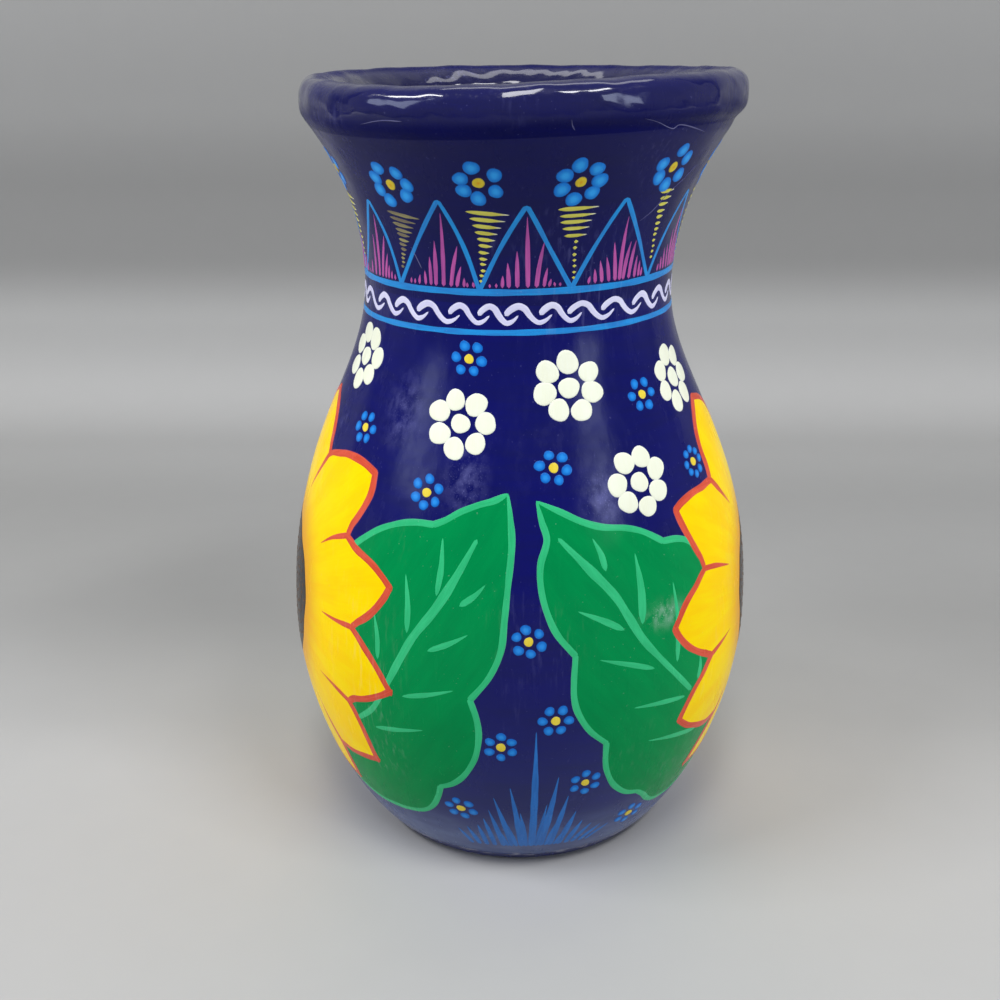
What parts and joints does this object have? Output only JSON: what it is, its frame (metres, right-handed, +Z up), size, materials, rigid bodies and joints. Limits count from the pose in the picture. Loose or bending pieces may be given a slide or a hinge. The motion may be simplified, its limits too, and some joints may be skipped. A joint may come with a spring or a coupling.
{
  "type": "ceramic vase",
  "caption": "Hand-painted earthenware vase: round belly, narrow waist, flared neck and thick rolled lip, with folk flowers on glossy cobalt; stands on a flat base and holds cut stems.",
  "frame": {"origin": "centre of the flat underside, on the surface the vase stands on", "axes": "+Z up along the axis of the vase; -Y is the side that the picture shows"},
  "size_m": [0.1546, 0.1546, 0.25],
  "materials": {
    "painted_clay": "cobalt blue paint under gloss varnish",
    "bare_clay": "matte fired earthenware",
    "yellow_paint": "brushed paint under gloss varnish",
    "red_paint": "brushed paint under gloss varnish",
    "green_paint": "brushed paint under gloss varnish",
    "blue_paint": "brushed paint under gloss varnish",
    "pink_paint": "brushed paint under gloss varnish",
    "white_paint": "dotted paint under gloss varnish"
  },
  "bodies": {
    "root": {"base_slab": "bare_clay", "lower_bowl": "painted_clay", "shoulder_wall": "painted_clay", "neck_collar": "painted_clay", "rolled_lip": "painted_clay"}
  },
  "joints": []
}
